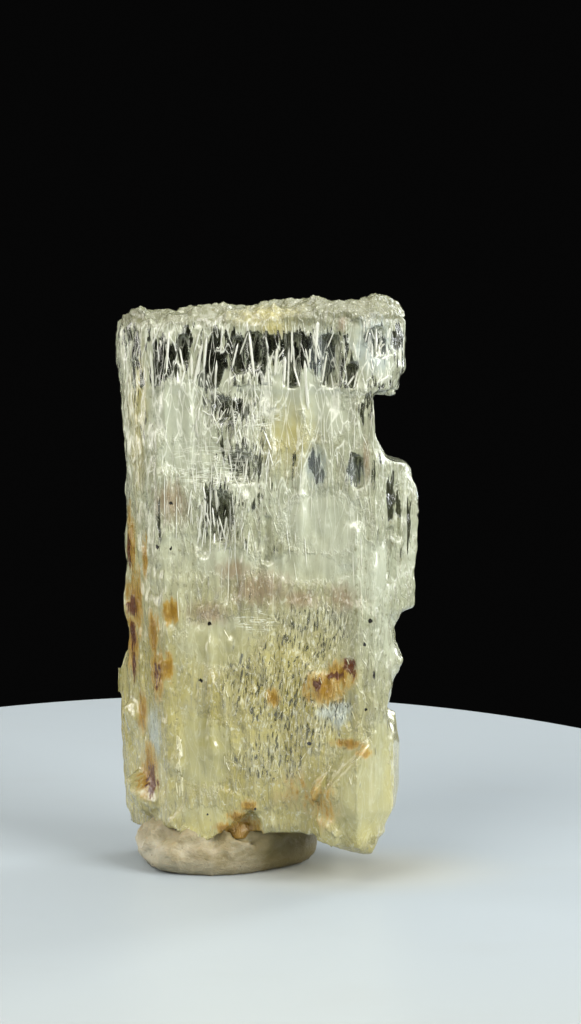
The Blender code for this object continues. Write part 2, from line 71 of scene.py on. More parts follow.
# The smallest step of the putty's surface, where it was pressed, and the share of these places
# that is their rim
PUTTY_DETAIL, PRESS_RIM = 0.3, 0.5
PRESSED = [(-7.6, -2.6, 3.0, 6.4, 6.0, 3.0), (-1.0, -3.4, 3.0, 5.0, 3.0, 2.0)]
# The steps into which the weights of the points are rounded
WEIGHT_STEPS = 20

# The cylinder between the tips of a needle takes up this share of its length
NEEDLE_SHAFT = 0.7
NEEDLE_SEED = 11
# From this far out to the sides, needles follow the surface; nearer in they bridge the pits
OPEN_SIDES, PIT_DEPTH = 7.2, 0.45
# The rays that look for the front start from here
RAY_START = -50.0

# The camera: where it stands, how many degrees it looks down, the width of its sensor, and its
# focal length in picture heights
CAMERA_PLACE, CAMERA_TILT, SENSOR, LENS = (2.122, -173.45, 43.5), 5, 36, 2200 / 1024


def only(*objects):
    """Selects these objects and nothing else."""
    bpy.ops.object.select_all(action="DESELECT")
    for item in objects:
        item.select_set(True)
    bpy.context.view_layer.objects.active = objects[0]


def copy_of_node(node, name):
    """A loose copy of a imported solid, with its doubled points merged."""
    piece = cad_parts[node].copy()
    piece.data = piece.data.copy()
    piece.name = piece.data.name = name
    for key in list(piece.keys()):
        del piece[key]
    piece.parent = None
    bpy.context.scene.collection.objects.link(piece)
    only(piece)
    bpy.ops.object.mode_set(mode="EDIT")
    bpy.ops.mesh.select_all(action="SELECT")
    bpy.ops.mesh.remove_doubles(threshold=1e-6)
    bpy.ops.object.mode_set(mode="OBJECT")
    return piece


def apply(piece, kind, **settings):
    """Adds a modifier, sets it and applies it."""
    only(piece)
    modifier = piece.modifiers.new(kind.title(), kind)
    for key, value in settings.items():
        setattr(modifier, key, value)
    bpy.ops.object.modifier_apply(modifier=modifier.name)


def weigh(piece, name, weights):
    """A vertex group from an array of weights, one for each point."""
    group = piece.vertex_groups.new(name=name)
    steps = np.clip(np.round(weights * WEIGHT_STEPS), 0, WEIGHT_STEPS).astype(int)
    for step in range(1, WEIGHT_STEPS + 1):
        group.add(np.nonzero(steps == step)[0].tolist(), step / WEIGHT_STEPS, "REPLACE")
    return name


def roughen(piece, name, grain, depth, level, group, **settings):
    """Pushes a group's surface in and out by clouds whose grain is given along x, y and z.

    Clouds as bright as level leave the surface where it is.
    """
    bpy.ops.object.empty_add(location=(0, 0, 0))
    ruler = bpy.context.object
    ruler.scale = [size * MM for size in grain]
    bpy.context.view_layer.update()
    texture = bpy.data.textures.new(name, "CLOUDS")
    texture.noise_scale = 1.0
    for key, value in settings.items():
        setattr(texture, key, value)
    apply(
        piece, "DISPLACE", texture=texture, texture_coords="OBJECT",
        texture_coords_object=ruler, strength=depth * MM, mid_level=level,
        vertex_group=group,
    )
    bpy.data.objects.remove(ruler)
    bpy.data.textures.remove(texture)


def points_and_normals(piece):
    """Arrays of the points and of their normals."""
    count = len(piece.data.vertices)
    places, normals = np.empty(count * 3), np.empty(count * 3)
    piece.data.vertices.foreach_get("co", places)
    piece.data.vertices.foreach_get("normal", normals)
    return places.reshape(-1, 3) / MM, normals.reshape(-1, 3)


def near(places, marks):
    """1 in the middle of each mark, falling to 0 at its rim. A mark is (x, y, z, rx, ry, rz)."""
    found = np.zeros(len(places))
    for x, y, z, *radii in marks:
        apart = np.linalg.norm((places - (x, y, z)) / radii, axis=1)
        found = np.maximum(found, 1 - apart)
    return found


def mark(piece, name, places, *fields):
    """Keeps up to three fields of marks as a colour attribute of the piece."""
    values = np.zeros((len(places), 4), dtype=np.float32)
    for channel, marks in enumerate(fields):
        values[:, channel] = near(places, marks)
    layer = piece.data.color_attributes.new(name, "FLOAT_COLOR", "POINT")
    layer.data.foreach_set("color", values.ravel())


def smooth(low, high, value):
    """Smooth step from 0 at low to 1 at high."""
    share = np.clip((value - low) / (high - low), 0, 1)
    return share * share * (3 - 2 * share)


class Finish:
    """One material, with short ways to add its nodes and to join them."""

    def __init__(self, name):
        self.material = bpy.data.materials.new(name)
        self.material.use_nodes = True
        self.tree = self.material.node_tree
        self.shader = self.tree.nodes["Principled BSDF"]
        where = self.tree.nodes.new("ShaderNodeTexCoord").outputs["Object"]
        self.place = self.move(where, size=(MM, MM, MM))

    def add(self, kind, **settings):
        """A new node with these settings."""
        node = self.tree.nodes.new(kind)
        for key, value in settings.items():
            setattr(node, key, value)
        return node

    def feed(self, socket, value):
        """Joins another node's output to the socket, or sets the socket's own value."""
        if isinstance(value, bpy.types.NodeSocket):
            self.tree.links.new(value, socket)
        elif value is not None:
            socket.default_value = value

    def move(self, place, at=(0, 0, 0), size=(1, 1, 1), turn=(0, 0, 0)):
        """Coordinates measured from at, in units of size, on axes turned by degrees."""
        node = self.add("ShaderNodeMapping", vector_type="TEXTURE")
        self.feed(node.inputs["Vector"], place)
        node.inputs["Location"].default_value = at
        node.inputs["Rotation"].default_value = [math.radians(angle) for angle in turn]
        node.inputs["Scale"].default_value = size
        return node.outputs["Vector"]

    def math(self, operation, a, b=None, c=None):
        """The result of an operation on up to three numbers."""
        node = self.add("ShaderNodeMath", operation=operation)
        for socket, value in zip(node.inputs, (a, b, c)):
            self.feed(socket, value)
        return node.outputs[0]

    def clouds(self, grain, detail=3.0, rough=0.55, warp=0.0, at=(0, 0, 0), turn=(0, 0, 0)):
        """Soft noise from 0 to 1 whose grain is given along x, y and z."""
        node = self.add("ShaderNodeTexNoise")
        self.feed(node.inputs["Vector"], self.move(self.place, at, grain, turn))
        node.inputs["Scale"].default_value = 1.0
        node.inputs["Detail"].default_value = detail
        node.inputs["Roughness"].default_value = rough
        node.inputs["Distortion"].default_value = warp
        return node.outputs["Fac"]

    def cells(self, grain):
        """Distance from the nearest of many scattered points, in units of the grain."""
        node = self.add("ShaderNodeTexVoronoi")
        self.feed(node.inputs["Vector"], self.move(self.place, size=grain))
        node.inputs["Scale"].default_value = 1.0
        return node.outputs["Distance"]

    def step(self, value, low, high, start=0.0, end=1.0):
        """Smooth step: start up to low, end from high."""
        node = self.add("ShaderNodeMapRange", interpolation_type="SMOOTHSTEP")
        for socket, item in zip(node.inputs, (value, low, high, start, end)):
            self.feed(socket, item)
        return node.outputs[0]

    def blend(self, share, a, b):
        """Number a turning into number b."""
        node = self.add("ShaderNodeMix", data_type="FLOAT")
        for socket, item in zip((node.inputs[0], node.inputs[2], node.inputs[3]), (share, a, b)):
            self.feed(socket, item)
        return node.outputs[0]

    def tint(self, share, a, b):
        """Colour a turning into colour b."""
        node = self.add("ShaderNodeMix", data_type="RGBA")
        for socket, item in zip((node.inputs[0], node.inputs[6], node.inputs[7]), (share, a, b)):
            if isinstance(item, tuple):
                item = (*item, 1.0)
            self.feed(socket, item)
        return node.outputs[2]

    def spots(self, places, warp=None):
        """1 in the middle of each place, 0 from its rim on. A place is (x, y, z, rx, ry, rz)."""
        found = None
        for x, y, z, rx, ry, rz in places:
            node = self.add("ShaderNodeTexGradient", gradient_type="SPHERICAL")
            self.feed(node.inputs[0], self.move(warp or self.place, (x, y, z), (rx, ry, rz)))
            value = node.outputs["Fac"]
            found = value if found is None else self.math("MAXIMUM", found, value)
        return found

    def marks(self, name):
        """The three fields that the piece carries under this name."""
        node = self.add("ShaderNodeAttribute", attribute_name=name)
        split = self.add("ShaderNodeSeparateColor")
        self.feed(split.inputs[0], node.outputs["Color"])
        return split.outputs[0], split.outputs[1], split.outputs[2]

    def shaken(self, amount, grain):
        """Coordinates shaken by noise, so that edges drawn on them come out ragged."""
        node = self.add("ShaderNodeTexNoise")
        self.feed(node.inputs["Vector"], self.move(self.place, size=grain))
        node.inputs["Scale"].default_value = 1.0
        node.inputs["Detail"].default_value = 3.0
        shift = self.add("ShaderNodeVectorMath", operation="MULTIPLY_ADD")
        self.feed(shift.inputs[0], node.outputs["Color"])
        shift.inputs[1].default_value = [2 * size for size in amount]
        shift.inputs[2].default_value = [-size for size in amount]
        total = self.add("ShaderNodeVectorMath", operation="ADD")
        self.feed(total.inputs[0], self.place)
        self.feed(total.inputs[1], shift.outputs[0])
        return total.outputs[0]

    def axis(self, name):
        """One of the coordinates."""
        node = self.add("ShaderNodeSeparateXYZ")
        self.feed(node.inputs[0], self.place)
        return node.outputs[name]

    def bump(self, height, depth):
        """Normals of a fine relief whose height of 0 to 1 stands for a depth."""
        node = self.add("ShaderNodeBump")
        self.feed(node.inputs["Height"], height)
        node.inputs["Distance"].default_value = depth * MM
        node.inputs["Strength"].default_value = 1.0
        return node.outputs["Normal"]

    def set(self, **inputs):
        """Feeds the shader's inputs, named with underscores for spaces."""
        for key, value in inputs.items():
            self.feed(self.shader.inputs[key.replace("_", " ")], value)


def front_plane(x):
    """Depth of the broad front face at x."""
    return FRONT_POINT[1] + FRONT_SLOPE * (x - FRONT_POINT[0])


def on_front(*marks):
    """Places on the front from (x, z, half width, half height)."""
    return [(x + MARKS_SHIFT, front_plane(x), z, rx, FRONT_REACH, rz) for x, z, rx, rz in marks]


def on_left(*marks):
    """Places on the bevelled left flank from (x, z, half width, half height)."""
    places = []
    for x, z, rx, rz in marks:
        x += MARKS_SHIFT
        y = FLANK_DEPTH + FLANK_SLOPE * x + FLANK_LEAN * z
        places.append((x, y, z, rx, FLANK_REACH, rz))
    return places


def right_through(*marks):
    """Places from (x, z, half width, half height) that reach through to the back."""
    return [(x + MARKS_SHIFT, 0.0, z, rx, THROUGH_REACH, rz) for x, z, rx, rz in marks]


# The marks. Each is (x, z, half width, half height), or a whole ellipsoid (x, y, z, rx, ry, rz).

# Etched windows through which the crystal is clear
CLEAR = right_through(
    (-6.1, 41.4, 0.6, 1.8), (-1.9, 41.0, 1.1, 2.1), (-0.7, 41.2, 0.9, 1.8), (2.0, 40.4, 1.0, 2.6),
    (4.4, 40.8, 1.3, 2.2), (6.6, 39.6, 0.5, 1.2), (3.0, 40.8, 0.7, 2.0), (-3.6, 40.3, 1.0, 1.9),
    (0.3, 41.6, 0.5, 1.4), (8.2, 42.2, 1.2, 1.6), (-2.8, 36.7, 2.8, 1.7), (-1.7, 32.8, 2.3, 1.8),
    (-3.5, 29.0, 2.3, 3.2), (6.9, 32.2, 0.7, 1.7), (3.9, 32.5, 0.9, 1.9), (9.5, 30.2, 0.55, 2.4),
    (-7.6, 40.6, 1.2, 2.2), (-4.7, 38.9, 1.4, 1.2), (11.0, 27.8, 0.22, 3.4), (10.1, 42.3, 0.7, 1.2),
    (10.2, 29.0, 0.3, 1.6),
)
# Calm milky veils
MILKY = on_front(
    (-6.6, 36.4, 3.2, 3.4), (1.6, 35.5, 2.2, 2.2), (3.0, 37.4, 4.6, 1.0), (-6.6, 33.0, 2.4, 1.6),
    (4.6, 36.2, 2.6, 2.2), (-3.0, 24.8, 3.4, 1.6), (4.4, 28.0, 4.6, 3.4), (9.6, 24.6, 2.4, 3.4),
    (3.0, 24.6, 5.0, 1.6), (-4.9, 9.9, 3.4, 4.2), (7.6, 7.6, 3.9, 5.8), (-3.6, 18.6, 5.0, 2.8),
    (1.0, 38.0, 9.0, 0.8), (-4.6, 4.4, 3.0, 1.8), (8.9, 10.6, 1.6, 3.4), (1.2, 39.0, 0.9, 1.8),
    (-5.0, 38.8, 0.7, 1.6), (-2.9, 38.7, 0.6, 1.4), (3.2, 38.8, 1.0, 1.4), (7.4, 40.0, 1.0, 2.6),
    (9.2, 40.0, 1.6, 1.6), (6.9, 42.4, 0.8, 1.6),
)
# Yellow, pink, rusty and iron-black zones, black dots, and pale blue reflections painted into the
# colour
YELLOW = on_front(
    (0.6, 42.8, 2.4, 1.4), (1.7, 34.4, 3.4, 4.2), (0.8, 42.8, 1.2, 1.0), (-0.5, 44.2, 4.6, 1.8),
    (4.6, 3.8, 2.6, 2.2), (-4.9, 3.8, 3.8, 2.0), (-2.6, 4.8, 1.8, 1.6), (-5.0, 3.2, 2.4, 1.0),
    (7.4, 4.0, 2.4, 2.4), (-0.6, 12.6, 3.4, 3.0), (1.4, 17.6, 4.2, 2.6), (1.4, 5.2, 2.6, 1.8),
    (9.8, 8.6, 1.2, 5.2), (-7.0, 12.0, 1.2, 5.0), (5.8, 11.6, 3.0, 0.9), (1.0, 7.4, 3.4, 1.8),
) + on_left(
    (-10.2, 35.0, 1.8, 9.0), (-9.8, 38.0, 1.2, 6.0), (-11.0, 8.0, 2.2, 6.0),
    (-10.0, 14.0, 1.6, 6.0), (-10.4, 24.0, 1.4, 7.0), (-11.6, 12.0, 1.0, 3.4),
)
PINK = on_front(
    (-7.4, 29.4, 2.2, 2.4), (-0.5, 22.9, 4.6, 2.2), (5.9, 22.4, 2.0, 1.6), (7.7, 32.9, 0.5, 2.4),
    (5.9, 43.1, 0.5, 0.9), (-2.4, 24.2, 2.4, 1.4), (2.6, 22.2, 2.6, 1.2), (-4.4, 20.8, 2.6, 1.4),
)
AMBER = on_front(
    (4.5, 15.4, 2.1, 1.7), (5.8, 16.5, 1.7, 1.4), (-7.4, 20.8, 0.9, 1.4), (0.6, 14.5, 0.7, 1.0),
    (6.5, 11.2, 1.8, 0.5), (-3.1, 3.9, 1.2, 0.7), (-2.2, 4.9, 1.1, 0.7), (-1.3, 5.9, 0.9, 0.6),
    (7.6, 10.6, 0.9, 0.5), (-7.6, 16.4, 0.7, 1.6),
) + on_left(
    (-8.5, 15.8, 1.0, 2.6), (-9.3, 7.6, 1.6, 2.8), (-10.8, 17.6, 1.0, 3.8),
    (-10.9, 26.0, 0.8, 3.8), (-10.2, 21.0, 0.7, 3.6), (-8.8, 19.0, 0.7, 2.6),
    (-10.8, 21.4, 1.4, 2.4), (-9.9, 12.4, 0.6, 2.6), (-9.5, 25.0, 0.35, 2.4),
) + [(-1.8, -3.9, 3.5, 2.4, 2.2, 1.7), (0.6, -7.9, 6.6, 6.0, 2.6, 3.6)]
IRON = on_front(
    (6.5, 17.1, 0.75, 1.4), (3.9, 15.6, 0.5, 1.0), (5.4, 16.4, 1.2, 0.5),
) + on_left(
    (-10.8, 20.6, 1.2, 1.5), (-8.5, 15.6, 0.45, 1.9), (-9.0, 6.9, 0.8, 2.1),
    (-10.7, 18.2, 0.5, 2.2), (-10.6, 16.0, 0.35, 2.2), (-11.0, 24.4, 0.35, 3.6),
)
DOTS = on_front(
    (-7.3, 29.3, 0.24, 0.24), (-8.4, 25.9, 0.2, 0.26), (-7.3, 25.8, 0.18, 0.24),
    (-4.3, 20.0, 0.28, 0.26), (-5.0, 15.6, 0.26, 0.26), (8.0, 20.7, 0.3, 0.26),
    (7.6, 18.9, 0.2, 0.3), (-7.1, 3.5, 0.2, 0.22), (-4.5, 5.0, 0.18, 0.18),
    (-9.8, 6.9, 0.16, 0.2), (3.4, 11.1, 0.32, 0.26), (7.7, 13.9, 0.2, 0.22),
    (8.3, 16.6, 0.16, 0.5), (-0.8, 5.6, 0.16, 0.16),
)
BLUE = on_front(
    (4.4, 40.8, 1.7, 2.8), (8.4, 41.6, 2.6, 3.0), (3.9, 32.4, 1.2, 2.2), (5.4, 13.6, 1.8, 1.5),
    (6.9, 32.0, 0.9, 1.4), (10.9, 28.0, 0.5, 4.4),
) + on_left((-8.8, 11.2, 1.1, 3.0))
# Beds of short needles: fine slots between pale splinters, darkened with painted shade
NEEDLES = on_front(
    (2.0, 15.0, 5.4, 6.0), (3.6, 19.8, 4.0, 2.4), (0.4, 9.6, 3.6, 2.2), (-2.8, 36.7, 3.2, 2.4),
    (-1.7, 32.8, 2.8, 2.4), (-3.5, 29.0, 2.8, 3.6), (-1.6, 15.4, 2.4, 3.0),
    (4.2, 12.6, 2.2, 1.8), (5.4, 13.8, 1.7, 1.2),
)
# Level wisps of white fibres
WISPS = on_front((-4.2, 32.4, 4.8, 2.6), (-0.7, 20.4, 2.2, 1.3), (-1.0, 36.0, 3.4, 1.2))

# Colours of the beryl at its foot and at its top, each in a dark and a pale shade
FOOT_DARK, FOOT_PALE = (0.44, 0.38, 0.11), (0.56, 0.51, 0.22)
TOP_DARK, TOP_PALE = (0.50, 0.52, 0.34), (0.64, 0.67, 0.49)
# Its lengthwise streaks, the veils at the foot and the top, and the crust of the crest
STREAK, FOOT_VEIL, TOP_VEIL = (0.34, 0.33, 0.22), (0.42, 0.415, 0.22), (0.58, 0.61, 0.47)
CRUST = (0.27, 0.275, 0.165)
# Its yellow and pink tinted zones, its painted pale blue reflection, and the painted glints and
# painted pit shade of its crumbly surface
YELLOW_TINT, PINK_TINT, PAINTED_BLUE_REFLECTION = (0.61, 0.54, 0.19), (0.40, 0.29, 0.17), (0.56, 0.64, 0.60)
PAINTED_GLINT, PAINTED_PIT_SHADE = (0.86, 0.85, 0.64), (0.24, 0.22, 0.10)
# Painted shade in the slots, the painted dark seen through clear windows, painted blue reflections
# on panes, and white fibres
SLOT_SHADE, SEEN_THROUGH_DARK, PANE, FIBRE = (
    (0.12, 0.11, 0.06), (0.15, 0.16, 0.13), (0.30, 0.34, 0.35), (0.93, 0.94, 0.80)
)
# Rust from its rim to its middle, iron black and the dots
RUST_RIM, RUST, RUST_DEEP = (0.58, 0.44, 0.17), (0.50, 0.31, 0.05), (0.33, 0.17, 0.015)
IRON_BLACK, DOT = (0.11, 0.030, 0.005), (0.01, 0.008, 0.006)
# The fibres: grain of each set, its turn in degrees, and how wide its lines are
FIBRES = (
    ((1.0, 1.0, 6.0), (4, 6, 0), 0.022), ((0.8, 0.8, 4.6), (-5, -9, 0), 0.020),
    ((1.6, 1.6, 9.0), (3, 1, 0), 0.016),
)


def beryl():
    """Etched beryl: clear windows, milky veils, lengthwise needles, iron stains."""
    f = Finish("etched_beryl")
    kit = bpy.context.scene.crystal_settings
    height = f.axis("Z")
    in_clear, in_milky, in_needles = f.marks("clearness")
    in_yellow, in_pink, in_blue_reflection = f.marks("tints_and_reflections")
    in_amber, in_iron, in_wisps = f.marks("stains")
    shift = f.shaken((0.16, 0.16, 0.2), (0.22, 0.22, 0.5))

    # grain of the etched surface
    crumbs = f.clouds((0.42, 0.42, 0.6), 4.0, 0.62)
    slots = f.clouds((0.34, 0.34, 2.4), 3.0, 0.55, 0.3)
    broad = f.clouds((1.1, 1.1, 4.4), 3.0, 0.55, 0.4, at=(3, 5, 1))
    drift = f.clouds((3.4, 3.4, 5.0), 3.0, 0.5, 0.5, at=(9, 2, 4))
    splinter = f.clouds((0.17, 0.17, 0.85), 2.0, 0.5, 0.6, turn=(0, 7, 0))
    fibres = None
    for number, (grain, turn, width) in enumerate(FIBRES):
        wave = f.clouds(grain, 1.0, 0.5, 0.15, at=(number * 7, 3, 2), turn=turn)
        line = f.step(f.math("ABSOLUTE", f.math("SUBTRACT", wave, 0.5)), 0.0, width, 1.0, 0.0)
        fibres = line if fibres is None else f.math("MAXIMUM", fibres, line)
    strands = f.clouds((2.4, 2.4, 0.34), 2.0, 0.5, 0.9, at=(1, 8, 3))
    wisps = f.math(
        "MULTIPLY", f.step(f.math("ABSOLUTE", f.math("SUBTRACT", strands, 0.5)), 0.0, 0.045, 1, 0),
        f.step(in_wisps, 0.05, 0.5),
    )

    # edges drawn on the marks come out ragged
    ragged = f.math("MULTIPLY", f.math("SUBTRACT", crumbs, 0.5), 0.7)
    ragged = f.math("MULTIPLY_ADD", f.math("SUBTRACT", slots, 0.5), 0.7, ragged)

    def patch(field, low, high, most=1.0):
        return f.step(f.math("ADD", field, ragged), low, high, 0.0, most)

    # where it is clear, milky and needled
    band = f.math("MULTIPLY", f.step(height, 38.2, 38.45),
                  f.step(f.math("MULTIPLY_ADD", crumbs, 2.4, height), 43.2, 44.6, 1.0, 0.0))
    milky = patch(in_milky, 0.05, 0.4)
    bed = patch(in_needles, 0.05, 0.45)
    crust = f.step(f.math("MULTIPLY_ADD", crumbs, 2.6, height), 43.9, 44.9)
    loose = f.step(height, 16.0, 34.0, 0.45, 1.0)
    gaps = f.math("MULTIPLY", f.math("SUBTRACT", slots, 0.5), 2.4)
    gaps = f.math("MULTIPLY_ADD", f.math("SUBTRACT", broad, 0.5), 2.2, gaps)
    open_here = f.math("MULTIPLY_ADD", gaps, loose, in_clear)
    open_here = f.math("MULTIPLY_ADD", band, 0.34, open_here)
    open_here = f.math("MULTIPLY_ADD", milky, -0.35, open_here)
    clear = f.step(open_here, 0.34, 0.48)
    clear = f.math("MULTIPLY", clear, f.math("SUBTRACT", 1.0, crust))
    slot = f.math("MULTIPLY", bed, f.step(splinter, 0.56, 0.66))
    clear = f.math("MAXIMUM", clear, f.math("MULTIPLY", slot, 0.8))
    fibre_room = f.math("MAXIMUM", band, f.step(height, 24.0, 36.0, 0.15, 0.8))
    fibre_room = f.math("MULTIPLY", fibre_room, f.step(crust, 0.0, 1.0, 1.0, 0.2))
    white = f.math("MULTIPLY", fibres, fibre_room)
    splinters = f.step(height, 18.0, 26.0, 0.5, 1.0)
    splinters = f.math("MULTIPLY", splinters, f.step(splinter, 0.42, 0.35))
    white = f.math("MAXIMUM", white, f.math("MULTIPLY", bed, splinters))
    white = f.math("MAXIMUM", white, wisps)
    white = f.math("MULTIPLY", white, f.step(crumbs, 0.35, 0.6, 0.55, 1.0))

    # colour
    low = f.tint(f.step(drift, 0.35, 0.65), FOOT_DARK, FOOT_PALE)
    high = f.tint(f.step(drift, 0.35, 0.65), TOP_DARK, TOP_PALE)
    # the right side is paler
    lift = f.math("MULTIPLY_ADD", f.step(f.axis("X"), 4.0, 9.0), 9.0, height)
    body = f.tint(f.step(lift, 14.0, 30.0), low, high)
    streaks = f.step(slots, 0.62, 0.5, 0.5, 0.0)
    streaks = f.math("MULTIPLY", streaks, f.step(milky, 0.0, 0.8, 1.0, 0.15))
    body = f.tint(streaks, body, STREAK)
    veil = f.tint(f.step(height, 12.0, 27.0), FOOT_VEIL, TOP_VEIL)
    body = f.tint(f.math("MULTIPLY", milky, 0.5), body, veil)
    body = f.tint(crust, body, CRUST)
    body = f.tint(patch(in_yellow, 0.0, 1.1, 0.95), body, YELLOW_TINT)
    body = f.tint(patch(in_pink, 0.05, 0.9, 0.8), body, PINK_TINT)
    # painted reflection: pale blue laid into the colour where the surface reflects blue
    blue = patch(in_blue_reflection, 0.05, 0.6, 0.9)
    body = f.tint(f.math("MULTIPLY", blue, 0.8), body, PAINTED_BLUE_REFLECTION)
    plain = f.step(milky, 0.0, 0.8, 1.0, 0.25)
    speck = f.clouds((0.3, 0.3, 0.45), 2.0, 0.6, 0.4, at=(4, 9, 2))
    # painted highlights: pale specks stand for glints on the crumbly surface
    painted_glints = f.math("MULTIPLY", plain, f.step(speck, 0.58, 0.68, 0.0, 0.6))
    body = f.tint(painted_glints, body, PAINTED_GLINT)
    # painted shade: dark specks stand for the shade in its pits
    painted_pit_shade = f.math("MULTIPLY", plain, f.step(speck, 0.40, 0.32, 0.0, 0.55))
    body = f.tint(painted_pit_shade, body, PAINTED_PIT_SHADE)
    # painted shade: the slots between splinters are darkened
    body = f.tint(f.math("MULTIPLY", slot, 0.75), body, SLOT_SHADE)
    # painted shade: the clear windows take a dark colour that stands for the dark seen through them
    body = f.tint(f.math("MULTIPLY", clear, 0.85), body, SEEN_THROUGH_DARK)
    # painted reflection: blue-grey laid into the clear panes that reflect blue
    pane = f.math("MULTIPLY", clear, blue)
    body = f.tint(f.math("MULTIPLY", pane, 0.75), body, PANE)
    body = f.tint(f.math("MULTIPLY", white, 0.85), body, FIBRE)
    streak = f.math("MULTIPLY", f.math("SUBTRACT", slots, 0.5), 1.5)
    streak = f.math("MULTIPLY_ADD", f.math("SUBTRACT", crumbs, 0.5), 1.1, streak)
    rust = f.math("MULTIPLY_ADD", f.step(in_amber, 0.0, 0.25), streak, in_amber)
    body = f.tint(f.step(rust, 0.0, 0.3, 0.0, 0.75), body, RUST_RIM)
    body = f.tint(f.step(rust, 0.2, 0.5, 0.0, 0.85), body, RUST)
    body = f.tint(f.step(rust, 0.4, 0.8, 0.0, 0.85), body, RUST_DEEP)
    iron = f.math("MULTIPLY_ADD", f.step(in_iron, 0.0, 0.25), streak, in_iron)
    iron = f.step(iron, 0.3, 0.6)
    body = f.tint(iron, body, IRON_BLACK)
    dots = f.step(f.spots(DOTS, shift), 0.25, 0.5)
    body = f.tint(dots, body, DOT)

    # how clear and how dull it is
    see = f.blend(clear, 0.38, 0.985)
    see = f.blend(f.math("MULTIPLY", milky, 0.7), see, 0.25)
    see = f.blend(f.math("MULTIPLY", pane, 0.55), see, 0.4)
    see = f.blend(crust, see, 0.25)
    see = f.blend(f.math("MULTIPLY", white, 0.9), see, 0.06)
    see = f.blend(f.math("MAXIMUM", iron, dots), see, 0.1)
    see = f.blend(f.step(rust, 0.2, 0.5, 0.0, 0.6), see, 0.3)
    haze = f.blend(clear, 0.2, 0.05)

    # fine relief, fainter where the surface is calm
    relief = f.math("MULTIPLY_ADD", slots, 0.8, f.math("MULTIPLY", crumbs, 0.5))
    relief = f.math("MULTIPLY_ADD", fibres, 0.16, relief)
    relief = f.math("MULTIPLY_ADD", f.math("MULTIPLY", splinter, bed), 0.4, relief)
    calm = f.math("MAXIMUM", f.math("MULTIPLY", clear, 0.6), f.math("MULTIPLY", milky, 0.9))
    calm = f.math("MAXIMUM", calm, f.step(drift, 0.45, 0.62, 0.0, 0.7))
    relief = f.math("MULTIPLY", relief, f.math("SUBTRACT", 1.0, calm))
    f.set(
        Base_Color=body, Transmission_Weight=see, Roughness=haze,
        Normal=f.bump(relief, 0.26), IOR=kit.refraction, Coat_Roughness=0.06,
        Coat_Weight=f.blend(f.math("MAXIMUM", crust, f.step(rust, 0.0, 0.4)), 0.7, 0.2),
    )
    absorb = f.add("ShaderNodeVolumeAbsorption")
    absorb.inputs["Color"].default_value = (*kit.depth_colour, 1.0)
    absorb.inputs["Density"].default_value = kit.depth_density
    output = f.tree.nodes["Material Output"]
    f.feed(output.inputs["Volume"], absorb.outputs[0])
    return f.material


# Colours of the needles: two whites, and the cream of those near the foot
NEEDLE_DULL, NEEDLE_BRIGHT = (0.80, 0.80, 0.62), (0.95, 0.96, 0.88)
NEEDLE_CREAM = (0.74, 0.70, 0.44)


def needle_white():
    """White and hardly clear beryl, creamier towards the foot."""
    f = Finish("needle_white")
    grain = f.clouds((0.3, 0.3, 0.9), 3.0)
    white = f.tint(grain, NEEDLE_DULL, NEEDLE_BRIGHT)
    f.set(
        Base_Color=f.tint(f.step(f.axis("Z"), 26.0, 18.0), white, NEEDLE_CREAM),
        Transmission_Weight=0.35, Roughness=f.blend(grain, 0.10, 0.35),
        IOR=bpy.context.scene.crystal_settings.refraction, Normal=f.bump(grain, 0.03),
    )
    return f.material


# Colours of the putty: its dirt, painted shade (right end, top, foot), painted light (left end),
# its specks
PUTTY_DIRT, PUTTY_RIGHT_SHADE, PUTTY_LEFT_LIGHT = (0.24, 0.19, 0.09), (0.10, 0.075, 0.008), (0.46, 0.43, 0.33)
PUTTY_TOP_SHADE, PUTTY_FOOT_SHADE, PUTTY_SPECK = (0.22, 0.18, 0.08), (0.16, 0.13, 0.07), (0.12, 0.09, 0.06)


def putty():
    """Cream display putty: dull and a little dirty, with painted shade on its right end, top and
    foot, and painted light on its left end.
    """
    f = Finish("display_putty")
    kit = bpy.context.scene.putty_settings
    dirt = f.clouds((2.2, 2.2, 1.2), 4.0, 0.6)
    specks = f.cells((1.1, 1.1, 1.1))
    foot = f.step(f.axis("Z"), 0.0, 1.4, 1.0, 0.0)
    colour = f.tint(f.step(dirt, 0.35, 0.75), tuple(kit.colour), PUTTY_DIRT)
    # painted shade: the right end is darkened as if in the crystal's shadow
    right = f.step(f.math("MULTIPLY_ADD", dirt, 4.0, f.axis("X")), -2.5, 4.5, 0.0, 0.85)
    colour = f.tint(right, colour, PUTTY_RIGHT_SHADE)
    # painted light: the left end is lightened as if lit by the key light
    left = f.step(f.axis("X"), -6.5, -10.0, 0.0, 0.7)
    colour = f.tint(left, colour, PUTTY_LEFT_LIGHT)
    # painted shade: the top of the pad, under the crystal, is darkened
    top = f.step(f.math("MULTIPLY_ADD", dirt, 1.6, f.axis("Z")), 2.6, 3.8, 0.0, 0.6)
    colour = f.tint(top, colour, PUTTY_TOP_SHADE)
    # painted shade: darker towards the foot, where the pad meets the floor
    colour = f.tint(f.math("MULTIPLY", foot, 0.45), colour, PUTTY_FOOT_SHADE)
    colour = f.tint(f.step(specks, 0.04, 0.07, 1.0, 0.0), colour, PUTTY_SPECK)
    fine = f.clouds((0.5, 0.5, 0.35), 4.0, 0.6, 0.6)
    f.set(Base_Color=colour, Roughness=f.blend(dirt, 0.42, 0.62), Normal=f.bump(fine, 0.12))
    f.shader.inputs["Subsurface Weight"].default_value = 0.25
    f.shader.inputs["Subsurface Radius"].default_value = (0.8, 0.5, 0.3)
    f.shader.inputs["Subsurface Scale"].default_value = MM
    return f.material


